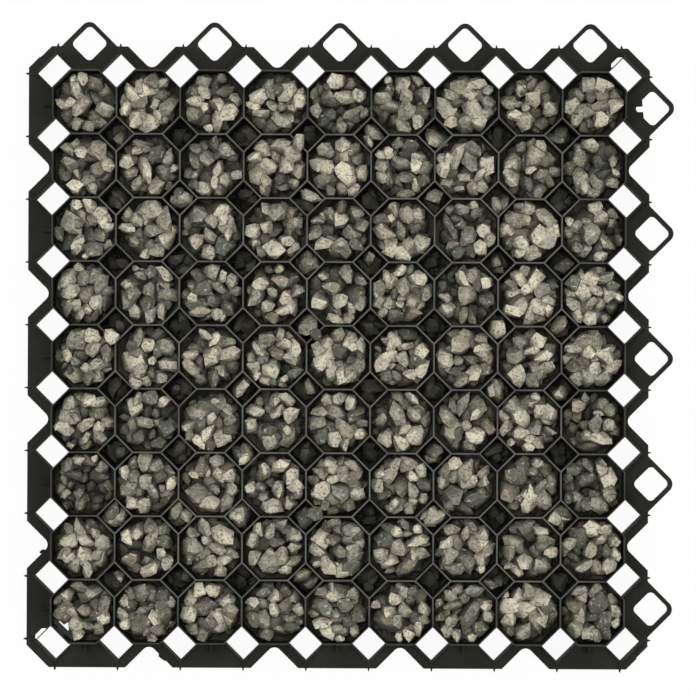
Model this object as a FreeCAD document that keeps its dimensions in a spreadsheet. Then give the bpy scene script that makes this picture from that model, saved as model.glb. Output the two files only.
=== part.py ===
"""Interlocking paver grid of 500 mm module, moulded in one piece, with its cells filled with crushed stone.

The origin is the middle of the module on the ground, +X right, +Y to the back, +Z up. Lengths are in mm.
"""

import FreeCAD
import Part
import Sketcher
import math
import os

SIZES = (
    ("pitch", 50.0, "from one cell centre to the next"),
    ("loop_count", 5, "loops along a side, one at every other cell"),
    ("grid_height", 38.0, "from the ground to the tops of the walls"),
    ("wall", 1.2, "thickness of the cell walls"),
    ("pocket_reach", 14.0, "from a pocket's centre to its wall's corner, on the wall's centre line"),
    ("border_reach", 15.1, "from a border pocket's centre to its corner, on the wall's face"),
    ("border_shift", 1.5, "how far a border pocket's centre lies outside its row"),
    ("flange_reach", 22.6, "from the outer row of pocket centres to the straight outer edge"),
    ("flange_depth", 4.5, "thickness of the flange and of the loops on it"),
    ("plate_gap", 5.2, "clear height under the raised plates"),
    ("plate_depth", 3.6, "thickness of the raised plates"),
    ("rim_height", 12.0, "height of the low rim round the border pockets"),
    ("corner_cut", 17.7, "leg of the cut at each corner"),
    ("notch_half", 18.9, "half width of a notch at the outer edge"),
    ("notch_radius", 6.0, "radius at the bottom of a notch"),
    ("loop_overhang", 2.4, "from the straight outer edge to the centre of a loop"),
    ("loop_reach", 19.9, "from a loop's centre to its outer corner, before rounding"),
    ("loop_radius", 7.0, "outer corner radius of a loop"),
    ("eye_reach", 15.1, "from a loop's centre to its eye's corner, before rounding"),
    ("eye_radius", 4.0, "corner radius of a loop's eye"),
    ("root_radius", 2.5, "radius where a loop runs into the flange"),
    ("slot_wall", 0.8, "thickness of the wall between a corner pocket and its slot"),
    ("slot_length", 13.6, "length of the slot beside a corner pocket"),
    ("slot_width", 2.8, "width of the slot beside a corner pocket"),
    ("slot_offset", 5.4, "from the pocket's centre line to the middle of the slot, along the slot"),
    ("slot_radius", 2.4, "radius of the slot's outer corners"),
    ("peg_play", 1.6, "play of a peg in a neighbour's eye"),
    ("peg_relief", 0.4, "height of a peg's foot above the ground"),
    ("rib_length", 10.0, "length of the rib on a plate"),
    ("rib_width", 1.8, "thickness of the rib on a plate"),
    ("rib_rise", 5.0, "height of the rib above its plate at the wall"),
    ("nib_width", 1.6, "thickness of a spacer fin"),
    ("nib_tip", 0.5, "thickness of a spacer nib at its tip"),
    ("nib_length", 2.2, "how far a spacer nib stands out"),
    ("low_nib_rise", 0.5, "height of a spacer fin above the flange"),
    ("high_nib_rise", 1.5, "height of a spacer fin above a plate"),
    ("stone_clearance", 0.3, "clearance between the stone fill and the walls"),
    ("cell_fill", 30.0, "mean height of the stone in the cells"),
    ("pocket_fill", 17.0, "mean height of the stone in the pockets"),
    ("rubble_relief", 3.5, "how far the stone's top rises and falls about its mean"),
    ("stray_size", 11.0, "mean width of a stray stone"),
)

HALF_ROOT = math.sqrt(0.5)
ROOT = math.sqrt(2.0)
FLANGE_BITE = 3.0
NOTCH_RUN_OUT = 4.0
CUT_PAST = 1.0
PEG_INSET = 0.4
TORN_WEBS = (
    ((-13.8, 1.3), (-8.1, 1.8), (-8.6, 7.0)),
    ((-13.8, -3.0), (-7.2, -8.2), (-7.6, -3.0)),
)
PEG_TIP_RADIUS = 2.0
RING_SCALE = 0.55
RING_WANDER = 0.3
HEAP_SEED_STEP = 7.31
STONE_SIDES = 6
STONE_RINGS = ((0.7, 0.0), (1.0, 0.28), (0.62, 0.6))
STONE_TOP = 0.68
STRAY_PLACES = ((-3.56, 0.31), (-3.17, -0.41), (-0.37, -2.46), (-0.37, 0.37), (-0.63, 3.37))


class Size:
    """A length known both as a number and as the sheet expression that drives it."""

    def __init__(self, value, text):
        self.value = float(value)
        self.text = text

    @staticmethod
    def of(other):
        return other if isinstance(other, Size) else Size(other, repr(float(other)))

    def _join(self, other, value, sign):
        return Size(value, "(%s %s %s)" % (self.text, sign, other.text))

    def __add__(self, other):
        other = Size.of(other)
        return self._join(other, self.value + other.value, "+")

    def __sub__(self, other):
        other = Size.of(other)
        return self._join(other, self.value - other.value, "-")

    def __mul__(self, other):
        other = Size.of(other)
        return self._join(other, self.value * other.value, "*")

    def __truediv__(self, other):
        other = Size.of(other)
        return self._join(other, self.value / other.value, "/")

    def __neg__(self):
        return self * -1.0


def make_sheet(doc):
    """The sheet of driving sizes, and a Size for each of its aliases."""
    sheet = doc.addObject("Spreadsheet::Sheet", "Sizes")
    found = {}
    for row, (alias, value, meaning) in enumerate(SIZES, start=1):
        sheet.set("A%d" % row, meaning)
        sheet.set("B%d" % row, str(value))
        sheet.setAlias("B%d" % row, alias)
        found[alias] = Size(value, "Sizes." + alias)
    doc.recompute()
    return found


def corner_turn(before, here, after):
    """Unit vectors into and out of a corner, and the signed turn between them in radians."""
    into = (here[0].value - before[0].value, here[1].value - before[1].value)
    out = (after[0].value - here[0].value, after[1].value - here[1].value)
    into = (into[0] / math.hypot(*into), into[1] / math.hypot(*into))
    out = (out[0] / math.hypot(*out), out[1] / math.hypot(*out))
    turn = math.atan2(into[0] * out[1] - into[1] * out[0], into[0] * out[0] + into[1] * out[1])
    return into, out, turn


def round_corners(corners):
    """Closed run of points from corners (x, y, radius or None): (x, y, radius, turn) a point.

    A rounded corner becomes its two tangent points, and the first of them carries the arc.
    """
    run = []
    for index, (x, y, radius) in enumerate(corners):
        if radius is None:
            run.append((x, y, None, 0.0))
            continue
        into, out, turn = corner_turn(corners[index - 1], (x, y), corners[(index + 1) % len(corners)])
        reach = radius * math.tan(abs(turn) / 2)
        run.append((x - reach * into[0], y - reach * into[1], radius, turn))
        run.append((x + reach * out[0], y + reach * out[1], None, 0.0))
    return run


def arc_between(start, end, radius, turn):
    """The arc of this radius from start to end, and whether it runs clockwise."""
    span = math.hypot(end[0] - start[0], end[1] - start[1])
    rise = radius * math.cos(turn / 2)
    side = 1.0 if turn > 0 else -1.0
    normal = (-(end[1] - start[1]) / span * side, (end[0] - start[0]) / span * side)
    centre = ((start[0] + end[0]) / 2 + normal[0] * rise, (start[1] + end[1]) / 2 + normal[1] * rise)
    first, last = (start, end) if turn > 0 else (end, start)
    low = math.atan2(first[1] - centre[1], first[0] - centre[0])
    high = math.atan2(last[1] - centre[1], last[0] - centre[0])
    circle = Part.Circle(FreeCAD.Vector(centre[0], centre[1], 0), FreeCAD.Vector(0, 0, 1), radius)
    return Part.ArcOfCircle(circle, low, high if high > low else high + 2 * math.pi)


def drive(sketch, kind, arguments, size):
    """Adds one dimension to a sketch and binds it to the sheet."""
    index = sketch.addConstraint(Sketcher.Constraint(kind, *arguments, size.value))
    sketch.setExpression("Constraints[%d]" % index, size.text)


def draw(sketch, corners):
    """Draws a closed profile whose every point and radius is bound to the sheet."""
    run = round_corners(corners)
    ends = []
    for index, (x, y, radius, turn) in enumerate(run):
        x_next, y_next = run[(index + 1) % len(run)][:2]
        start, end = (x.value, y.value), (x_next.value, y_next.value)
        if radius is None:
            line = Part.LineSegment(FreeCAD.Vector(*start, 0), FreeCAD.Vector(*end, 0))
            ends.append((sketch.addGeometry(line, False), 1, 2))
        else:
            arc = sketch.addGeometry(arc_between(start, end, radius.value, turn), False)
            ends.append((arc, 1, 2) if turn > 0 else (arc, 2, 1))
    for index, (x, y, radius, turn) in enumerate(run):
        shape, first, last = ends[index]
        before, _, before_last = ends[index - 1]
        sketch.addConstraint(Sketcher.Constraint("Coincident", before, before_last, shape, first))
        drive(sketch, "DistanceX", (shape, first), x)
        drive(sketch, "DistanceY", (shape, first), y)
        if radius is not None:
            drive(sketch, "Radius", (shape,), radius)


def compute(feature, moves=()):
    """Works out one new feature and its moves, and marks them as done.

    A pattern marks its own rows as changed, so a recompute of the whole model would work it out twice.
    """
    for move in moves:
        move.recompute()
    feature.recompute()
    for done in (feature, *moves):
        done.purgeTouched()
    return feature


def lay_sketch(body, name, *outlines, at=(None, None, None)):
    """Closed profiles on the body's ground plane, moved to a place bound to the sheet."""
    sketch = body.newObject("Sketcher::SketchObject", name)
    plane = [f for f in body.Origin.OriginFeatures if f.Role == "XY_Plane"][0]
    sketch.AttachmentSupport = [(plane, "")]
    sketch.MapMode = "FlatFace"
    for axis, size in zip("xyz", at):
        if size is not None:
            setattr(sketch.AttachmentOffset.Base, axis, size.value)
            sketch.setExpression("AttachmentOffset.Base." + axis, size.text)
    for corners in outlines:
        draw(sketch, corners)
    return compute(sketch)


def pad(body, sketch, height):
    """Adds the sketch's profile to the body, from its own plane up to the height given."""
    feature = body.newObject("PartDesign::Pad", sketch.Name + "_pad")
    feature.Profile = sketch
    feature.setExpression("Length", height.text)
    feature.Refine = False
    return compute(feature)


def pocket(body, sketch, depth):
    """Cuts the sketch's profile down from its own plane."""
    feature = body.newObject("PartDesign::Pocket", sketch.Name + "_cut")
    feature.Profile = sketch
    feature.setExpression("Length", depth.text)
    feature.Refine = False
    return compute(feature)


def rows(body, features, name, steps, turns=1, refine=False):
    """Repeats features along X and Y, then by quarter turns about the middle of the module.

    steps holds (axis, spacing, copies) for each row. Two turns go from the back to the right, or from the
    front to the left, and four go all round. With refine, faces that lie flush are joined at last.
    """
    doc = body.Document
    pattern = body.newObject("PartDesign::MultiTransform", name)
    pattern.Originals = features
    pattern.Refine = refine
    moves = []
    for axis, spacing, copies in steps:
        row = doc.addObject("PartDesign::LinearPattern", name + "_along_" + axis.lower())
        body.addObject(row)
        line = [f for f in body.Origin.OriginFeatures if f.Role == axis + "_Axis"][0]
        row.Direction = (line, [""])
        row.setExpression("Length", (spacing * (copies - 1.0)).text)
        row.setExpression("Occurrences", copies.text)
        moves.append(row)
    if turns > 1:
        spin = doc.addObject("PartDesign::PolarPattern", name + "_turned")
        body.addObject(spin)
        upright = [f for f in body.Origin.OriginFeatures if f.Role == "Z_Axis"][0]
        spin.Axis = (upright, [""])
        spin.Angle = 360.0 if turns == 4 else 90.0
        spin.Occurrences = turns
        spin.Reversed = True
        moves.append(spin)
    pattern.Transformations = moves
    body.Tip = pattern
    return compute(pattern, moves)


def diamond(half, radius=None, middle=(Size(0.0, "0.0"), Size(0.0, "0.0"))):
    """Corners of a square that stands on a corner, anticlockwise."""
    x, y = middle
    return [(x + half, y, radius), (x, y + half, radius), (x - half, y, radius), (x, y - half, radius)]


def box_outline(left, right, front, back):
    """Corners of an upright rectangle, anticlockwise."""
    return [(left, front, None), (right, front, None), (right, back, None), (left, back, None)]


def octagon(flat, reach):
    """Corners of a cell: flat is its half width, reach the far end of its straight sides."""
    signs = ((1, -1, 0), (1, 1, 0), (1, 1, 1), (-1, 1, 1), (-1, 1, 0), (-1, -1, 0), (-1, -1, 1), (1, -1, 1))
    return [
        (reach * sx if swap else flat * sx, flat * sy if swap else reach * sy, None)
        for sx, sy, swap in signs
    ]


def module_values(s):
    """Distances that several features share, worked out from the sheet's sizes."""
    cells = s["loop_count"] * 2.0 - 1.0
    return {
        "cells": cells,
        "pockets": cells + 1.0,
        "notches": s["loop_count"] - 1.0,
        "first_cell": s["pitch"] * (cells - 1.0) / -2.0,
        "outer_row": s["pitch"] * cells / 2.0,
        "edge": s["pitch"] * cells / 2.0 + s["flange_reach"],
        "rim_reach": s["border_reach"] + s["wall"] * ROOT,
        "flank": s["loop_reach"] + s["loop_overhang"],
    }


def add_walls(body, s, v):
    """The solid block that the cells are cut from, laid as one strip for each row of pockets."""
    half = v["outer_row"] + s["wall"] / 2.0
    strip = box_outline(-half, half, v["first_cell"], v["first_cell"] + s["pitch"])
    feature = pad(body, lay_sketch(body, "wall_strip", strip), s["grid_height"])
    rows(body, [feature], "wall_strips", [("Y", s["pitch"], v["cells"] - 1.0)])
    front = box_outline(-half, half, -half, v["first_cell"])
    pad(body, lay_sketch(body, "front_strip", front), s["grid_height"])
    back = box_outline(-half, half, -v["first_cell"], half)
    pad(body, lay_sketch(body, "back_strip", back), s["grid_height"])


def corner_middles(s, v):
    """Centres of the four corner pockets, alike on both sides of the back left to front right diagonal."""
    far, out = v["outer_row"], v["outer_row"] + s["border_shift"]
    slant = v["outer_row"] + s["border_shift"] * HALF_ROOT
    return [(out, far), (-far, -out), (-slant, slant), (slant, -slant)]


def border_pockets(body, s, v, half, name, height=None):
    """The outlines of the border pockets at a height: a sketch of a side's first, and one of the corners."""
    place = (v["first_cell"] + s["pitch"] / 2.0, -v["outer_row"] - s["border_shift"], height)
    side = lay_sketch(body, name, diamond(half), at=place)
    corners = [diamond(half, middle=middle) for middle in corner_middles(s, v)]
    return side, lay_sketch(body, "corner_" + name, *corners, at=(None, None, height))


def add_rims(body, s, v):
    """The low rims round the border pockets."""
    side, corners = border_pockets(body, s, v, v["rim_reach"], "rim")
    pad(body, corners, s["rim_height"])
    feature = pad(body, side, s["rim_height"])
    rows(body, [feature], "rims", [("X", s["pitch"], v["cells"] - 1.0)], turns=4)


def add_flanges(body, s, v):
    """The flange on the ground behind and to the right, and the raised one in front and to the left."""
    edge, cut, inner = v["edge"], s["corner_cut"], v["outer_row"]
    half_cut = edge - cut / 2.0
    ground = [
        (half_cut, -half_cut, None), (edge, cut - edge, None), (edge, edge - cut, None),
        (edge - cut, edge, None), (cut - edge, edge, None), (-half_cut, half_cut, None),
        (-inner, inner, None), (inner, inner, None), (inner, -inner, None),
    ]
    raised = [(-x, -y, None) for x, y, radius in ground]
    pad(body, lay_sketch(body, "ground_flange", ground), s["flange_depth"])
    plates = lay_sketch(body, "raised_flange", raised, at=(None, None, s["plate_gap"]))
    pad(body, plates, s["plate_depth"])


def add_loops(body, s, v):
    """The loops that lie under a neighbour's plates, each with its eye right through."""
    root, flank = s["root_radius"], v["flank"]
    inner, wide = Size.of(-FLANGE_BITE), flank + FLANGE_BITE
    outline = [
        (-wide, inner, None), (wide, inner, None), (wide, Size.of(0.0), None), (flank, Size.of(0.0), root),
        (Size.of(0.0), flank, s["loop_radius"]), (-flank, Size.of(0.0), root), (-wide, Size.of(0.0), None),
    ]
    place = (v["first_cell"], v["edge"], None)
    loop = pad(body, lay_sketch(body, "loop", outline, at=place), s["flange_depth"])
    place = (v["first_cell"], v["edge"] + s["loop_overhang"], s["flange_depth"])
    sketch = lay_sketch(body, "eye", diamond(s["eye_reach"], s["eye_radius"]), at=place)
    eye = pocket(body, sketch, s["flange_depth"] + CUT_PAST)
    rows(body, [loop, eye], "loops", [("X", s["pitch"] * 2.0, s["loop_count"])], turns=2)


def add_torn_webs(body, s, v):
    """Two webs of torn plastic that are left in the eye of the loop nearest the back right corner."""
    webs = [[(Size.of(x), Size.of(y), None) for x, y in corners] for corners in TORN_WEBS]
    place = (v["edge"] + s["loop_overhang"], -v["first_cell"], None)
    pad(body, lay_sketch(body, "torn_webs", *webs, at=place), s["flange_depth"])


def add_plate_parts(body, s, v):
    """What stands on a plate and hangs under it: the rib at the wall and the peg for a neighbour's eye."""
    reach = s["eye_reach"] - s["peg_play"] * ROOT - s["loop_overhang"]
    base = reach - PEG_INSET
    outline = [
        (-base, Size.of(PEG_INSET), None), (base, Size.of(PEG_INSET), None),
        (Size.of(0.0), reach, Size.of(PEG_TIP_RADIUS)),
    ]
    sketch = lay_sketch(body, "peg", outline, at=(v["first_cell"], -v["edge"], s["peg_relief"]))
    peg = pad(body, sketch, s["plate_gap"] + s["plate_depth"] / 2.0 - s["peg_relief"])
    half = s["rib_width"] / 2.0
    outline = box_outline(-half, half, -s["rib_length"], Size.of(0.0))
    place = (v["first_cell"], -v["outer_row"], s["plate_gap"])
    rib = pad(body, lay_sketch(body, "rib", outline, at=place), s["plate_depth"] + s["rib_rise"])
    rows(body, [peg, rib], "pegs_and_ribs", [("X", s["pitch"] * 2.0, s["loop_count"])], turns=2)


def add_nibs(body, s, v):
    """The fins that run out from the border pockets and stand proud of the edge as spacers.

    Those behind and to the right are low, and a neighbour's raised ones pass over them.
    """
    half, tip = s["nib_width"] / 2.0, s["nib_tip"] / 2.0
    inner, edge = v["rim_reach"], s["flange_reach"]
    outer = edge + s["nib_length"]
    fin = [(-half, inner, None), (half, inner, None), (half, edge, None), (tip, outer, None),
           (-tip, outer, None), (-half, edge, None)]
    low = lay_sketch(body, "ground_fin", fin, at=(-v["outer_row"], v["outer_row"], None))
    feature = pad(body, low, s["flange_depth"] + s["low_nib_rise"])
    rows(body, [feature], "ground_fins", [("X", s["pitch"], v["pockets"])], turns=2)
    fin = [(x, -y, None) for x, y, radius in reversed(fin)]
    high = lay_sketch(body, "raised_fin", fin, at=(-v["outer_row"], -v["outer_row"], s["plate_gap"]))
    feature = pad(body, high, s["plate_depth"] + s["high_nib_rise"])
    rows(body, [feature], "raised_fins", [("X", s["pitch"], v["pockets"])], turns=2)


def cut_notches(body, s, v):
    """The rounded V notches between the loops and between the plates."""
    half, out = s["notch_half"], Size.of(NOTCH_RUN_OUT)
    zero = Size.of(0.0)
    outline = [
        (zero, -half, s["notch_radius"]), (half, zero, None), (half, out, None), (-half, out, None),
        (-half, zero, None),
    ]
    place = (v["first_cell"] + s["pitch"], v["edge"], s["grid_height"])
    cut = pocket(body, lay_sketch(body, "notch", outline, at=place), s["grid_height"] + CUT_PAST)
    rows(body, [cut], "all_notches", [("X", s["pitch"] * 2.0, v["notches"])], turns=4)


def slot_outline(s, v, middle):
    """Corners of a slot that lies along the back left side of a corner pocket, anticlockwise.

    middle is how far along that side, towards the back right, the slot's middle lies from the corner of rows.
    """
    near = (s["border_reach"] - s["border_shift"]) * HALF_ROOT + s["slot_wall"]
    far, half, slope = near + s["slot_width"], s["slot_length"] / 2.0, s["slot_width"]
    turned = (
        (middle - half, near, None), (middle + half, near, None),
        (middle + half - slope, far, s["slot_radius"]), (middle - half + slope, far, s["slot_radius"]),
    )
    return [((along - across) * HALF_ROOT, (along + across) * HALF_ROOT, r) for along, across, r in turned]


def cut_corner_slots(body, s, v):
    """The slot beside the back right corner pocket, and its mirror image beside the front left one."""
    outlines = []
    for middle, row in ((s["slot_offset"], v["outer_row"]), (-s["slot_offset"], -v["outer_row"])):
        outlines.append([(x + row, y + row, r) for x, y, r in slot_outline(s, v, middle)])
    sketch = lay_sketch(body, "corner_slots", *outlines, at=(None, None, s["grid_height"]))
    pocket(body, sketch, s["grid_height"] + CUT_PAST)


def cut_border_pockets(body, s, v):
    """The border pockets, right through: wider than the others, and open to the outside between the loops."""
    side, corners = border_pockets(body, s, v, s["border_reach"], "border_pocket", s["grid_height"])
    pocket(body, corners, s["grid_height"] + CUT_PAST)
    cut = pocket(body, side, s["grid_height"] + CUT_PAST)
    rows(body, [cut], "border_pockets", [("X", s["pitch"], v["cells"] - 1.0)], turns=4)


def cut_cells(body, s, v):
    """The eight-sided cells and the pockets between them, right through."""
    flat = s["pitch"] / 2.0 - s["wall"] / 2.0
    slant = s["pitch"] - s["pocket_reach"] - s["wall"] * HALF_ROOT
    place = (v["first_cell"], v["first_cell"], s["grid_height"])
    cell = lay_sketch(body, "cell", octagon(flat, slant - flat), at=place)
    cut = pocket(body, cell, s["grid_height"] + CUT_PAST)
    rows(body, [cut], "all_cells", [("X", s["pitch"], v["cells"]), ("Y", s["pitch"], v["cells"])])
    reach = s["pocket_reach"] - s["wall"] * HALF_ROOT
    first = v["first_cell"] + s["pitch"] / 2.0
    hole = lay_sketch(body, "pocket", diamond(reach), at=(first, first, s["grid_height"]))
    cut = pocket(body, hole, s["grid_height"] + CUT_PAST)
    inner = v["cells"] - 1.0
    rows(body, [cut], "all_pockets", [("X", s["pitch"], inner), ("Y", s["pitch"], inner)], refine=True)


def make_grid(doc, s, v):
    """The moulded grid, one solid."""
    body = doc.addObject("PartDesign::Body", "paver_grid")
    body.Label = "paver_grid"
    doc.recompute()
    add_walls(body, s, v)
    add_rims(body, s, v)
    add_flanges(body, s, v)
    add_loops(body, s, v)
    add_torn_webs(body, s, v)
    add_plate_parts(body, s, v)
    add_nibs(body, s, v)
    cut_notches(body, s, v)
    cut_corner_slots(body, s, v)
    cut_border_pockets(body, s, v)
    cut_cells(body, s, v)
    return body


def chance(number):
    """A fixed number from 0 to 1 that looks random: the fraction left of a large sine."""
    return math.sin(number * 12.9898 + 4.1414) * 43758.5453 % 1.0


def ringed_solid(rings, top):
    """A closed solid from a flat lowest ring, up through the other rings, to one top point.

    The first band is made of flat four-sided walls, the others of triangles.
    """
    count = len(rings[0])
    loops = [list(reversed(rings[0]))]
    for level, (low, high) in enumerate(zip(rings, rings[1:])):
        for i in range(count):
            j = (i + 1) % count
            if level == 0:
                loops.append([low[i], low[j], high[j], high[i]])
            else:
                loops.extend([[low[i], low[j], high[j]], [low[i], high[j], high[i]]])
    loops.extend([[rings[-1][i], rings[-1][(i + 1) % count], top] for i in range(count)])
    faces = [Part.Face(Part.makePolygon(loop + loop[:1])) for loop in loops]
    return Part.Solid(Part.Shell(faces))


def fill_heap(x, y, outline, level, relief, seed):
    """One heap of stone about x, y: flat on the ground, upright against the walls, with a rubble top."""
    def corner(point, scale, height):
        return FreeCAD.Vector(x + point[0] * scale, y + point[1] * scale, height)

    base, rim, ring = [], [], []
    for i, point in enumerate(outline):
        base.append(corner(point, 1.0, 0.0))
        rim.append(corner(point, 1.0, level + relief * (chance(seed + i) - 0.7)))
        pull = RING_SCALE * (1.0 + RING_WANDER * (chance(seed + i + 20.0) - 0.5))
        ring.append(corner(point, pull, level + relief * (2.0 * chance(seed + i + 40.0) - 0.6)))
    top = FreeCAD.Vector(x, y, level + relief * (chance(seed + 60.0) - 0.2))
    return ringed_solid([base, rim, ring], top)


def make_fill(doc, s, label, outline, count, level):
    """The like heaps of stone that fill a square pattern of holes, in one sub-part."""
    pitch, relief = s["pitch"].value, s["rubble_relief"].value
    outline = [(x.value, y.value) for x, y, radius in outline]
    heaps = []
    for row in range(count):
        for column in range(count):
            seed = (row * count + column) * HEAP_SEED_STEP + len(label)
            lift = relief * (chance(seed + 80.0) - 0.5)
            place = (pitch * (column - (count - 1) / 2.0), pitch * (row - (count - 1) / 2.0))
            heaps.append(fill_heap(*place, outline, level.value + lift, relief, seed))
    fill = doc.addObject("Part::Feature", label)
    fill.Label = label
    fill.Shape = Part.makeCompound(heaps)
    return fill


def make_cell_gravel(doc, s, v):
    """The stone in the cells."""
    gap = s["wall"] / 2.0 + s["stone_clearance"]
    flat = s["pitch"] / 2.0 - gap
    slant = s["pitch"] - s["pocket_reach"] - gap * ROOT
    outline = octagon(flat, slant - flat)
    return make_fill(doc, s, "cell_gravel", outline, round(v["cells"].value), s["cell_fill"])


def make_pocket_gravel(doc, s, v):
    """The stone in the inner pockets, lower than in the cells."""
    gap = s["wall"] / 2.0 + s["stone_clearance"]
    outline = diamond(s["pocket_reach"] - gap * ROOT)
    return make_fill(doc, s, "pocket_gravel", outline, round(v["cells"].value) - 1, s["pocket_fill"])


def stray_stone(x, y, ground, size, seed):
    """An angular stone, flat underneath where it lies on the walls."""
    rings = []
    for scale, rise in STONE_RINGS:
        ring = []
        for i in range(STONE_SIDES):
            angle = 2 * math.pi * (i + 0.5 * chance(seed + i)) / STONE_SIDES
            reach = size / 2.0 * scale * (0.8 + 0.4 * chance(seed + i + 10.0))
            across, along = reach * math.cos(angle), reach * math.sin(angle)
            ring.append(FreeCAD.Vector(x + across, y + along, ground + rise * size))
        rings.append(ring)
    top = FreeCAD.Vector(x, y, ground + size * STONE_TOP)
    return ringed_solid(rings, top)


def make_stray_stones(doc, s):
    """The stones that lie over the walls, each with its underside on the wall tops."""
    pitch, size = s["pitch"].value, s["stray_size"].value
    stones = []
    for index, (across, along) in enumerate(STRAY_PLACES):
        scale = 0.85 + 0.3 * chance(index * 3.0)
        place = (pitch * across, pitch * along)
        stones.append(stray_stone(*place, s["grid_height"].value, size * scale, index * HEAP_SEED_STEP))
    loose = doc.addObject("Part::Feature", "stray_stones")
    loose.Label = "stray_stones"
    loose.Shape = Part.makeCompound(stones)
    return loose


def check(doc, pieces):
    """Stops with a plain message if anything in the document has failed."""
    for obj in doc.Objects:
        if "Invalid" in obj.State or "Error" in obj.State:
            raise RuntimeError("%s is %s" % (obj.Name, obj.State))
    for piece in pieces:
        if piece.Shape.isNull() or not piece.Shape.isValid():
            raise RuntimeError("%s has no valid shape" % piece.Label)


def main():
    doc = FreeCAD.newDocument("paver_grid")
    s = make_sheet(doc)
    v = module_values(s)
    grid = make_grid(doc, s, v)
    gravel = [make_cell_gravel(doc, s, v), make_pocket_gravel(doc, s, v), make_stray_stones(doc, s)]
    doc.recompute()
    pieces = [grid] + gravel
    check(doc, pieces)
    os.makedirs("parts", exist_ok=True)
    for piece in pieces:
        piece.Shape.exportStep("parts/%s.step" % piece.Label)
        box = piece.Shape.BoundBox
        print("%s: %d solids, %d faces, %.0f mm3, %.1f x %.1f x %.1f mm" % (
            piece.Label, len(piece.Shape.Solids), len(piece.Shape.Faces), piece.Shape.Volume,
            box.XLength, box.YLength, box.ZLength))


main()
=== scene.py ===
"""Looks of a grass paver grid: one moulded lattice with its cells filled with crushed stone.

The origin is the middle of the module's underside, +X to the right, +Y to the back, +Z up. Lengths are in
metres. The lattice keeps its own mesh and gets its plastic here. The plain heaps of stone give way to heaps
of single broken stones, which settle in the cells and pockets as balls before they get their broken shapes.
"""

import logging
import math
from dataclasses import dataclass
from enum import Enum
from typing import Any, Union

import bpy
import numpy as np
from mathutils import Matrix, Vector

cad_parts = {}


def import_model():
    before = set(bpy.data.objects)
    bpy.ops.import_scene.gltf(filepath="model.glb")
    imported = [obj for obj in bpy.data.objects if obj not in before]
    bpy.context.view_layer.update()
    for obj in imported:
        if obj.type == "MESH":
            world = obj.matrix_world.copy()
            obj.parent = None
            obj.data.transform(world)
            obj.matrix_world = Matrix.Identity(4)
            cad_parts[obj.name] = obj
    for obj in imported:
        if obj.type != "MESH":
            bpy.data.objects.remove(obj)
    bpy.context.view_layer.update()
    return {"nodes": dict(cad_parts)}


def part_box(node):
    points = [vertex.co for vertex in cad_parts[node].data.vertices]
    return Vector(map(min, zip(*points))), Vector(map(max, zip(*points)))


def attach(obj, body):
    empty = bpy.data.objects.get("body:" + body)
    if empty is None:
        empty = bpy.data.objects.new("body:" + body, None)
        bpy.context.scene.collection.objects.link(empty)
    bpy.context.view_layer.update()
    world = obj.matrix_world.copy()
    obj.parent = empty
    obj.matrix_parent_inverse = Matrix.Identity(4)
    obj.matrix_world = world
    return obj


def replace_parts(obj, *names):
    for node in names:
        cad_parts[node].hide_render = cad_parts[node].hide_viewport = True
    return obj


LOG = logging.getLogger("paver_grid")
BODY = "root"
MILLIMETRE = 0.001
TINY = 1e-9
SEED = 4127
TONE = "tone"
SHIFT = "shift"
TONE_SPREAD = (2.0, 1.7)

Number = Union[float, "Signal"]
Colour = tuple[float, float, float, float]

WHITE: Colour = (1.0, 1.0, 1.0, 1.0)


def grey(red: float, green: float, blue: float) -> Colour:
    """A colour from screen values of 0 to 255, each turned into a share of light.

    Args:
        red: the red value on screen.
        green: the green value on screen.
        blue: the blue value on screen.

    Returns:
        The colour as shares of light, with full cover.
    """
    shares = [value / 255.0 for value in (red, green, blue)]
    light = [s / 12.92 if s <= 0.04045 else ((s + 0.055) / 1.055) ** 2.4 for s in shares]
    return (light[0], light[1], light[2], 1.0)


class Heap(Enum):
    """Where a heap of stone lies."""

    CELL = "cell"
    POCKET = "pocket"


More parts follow.
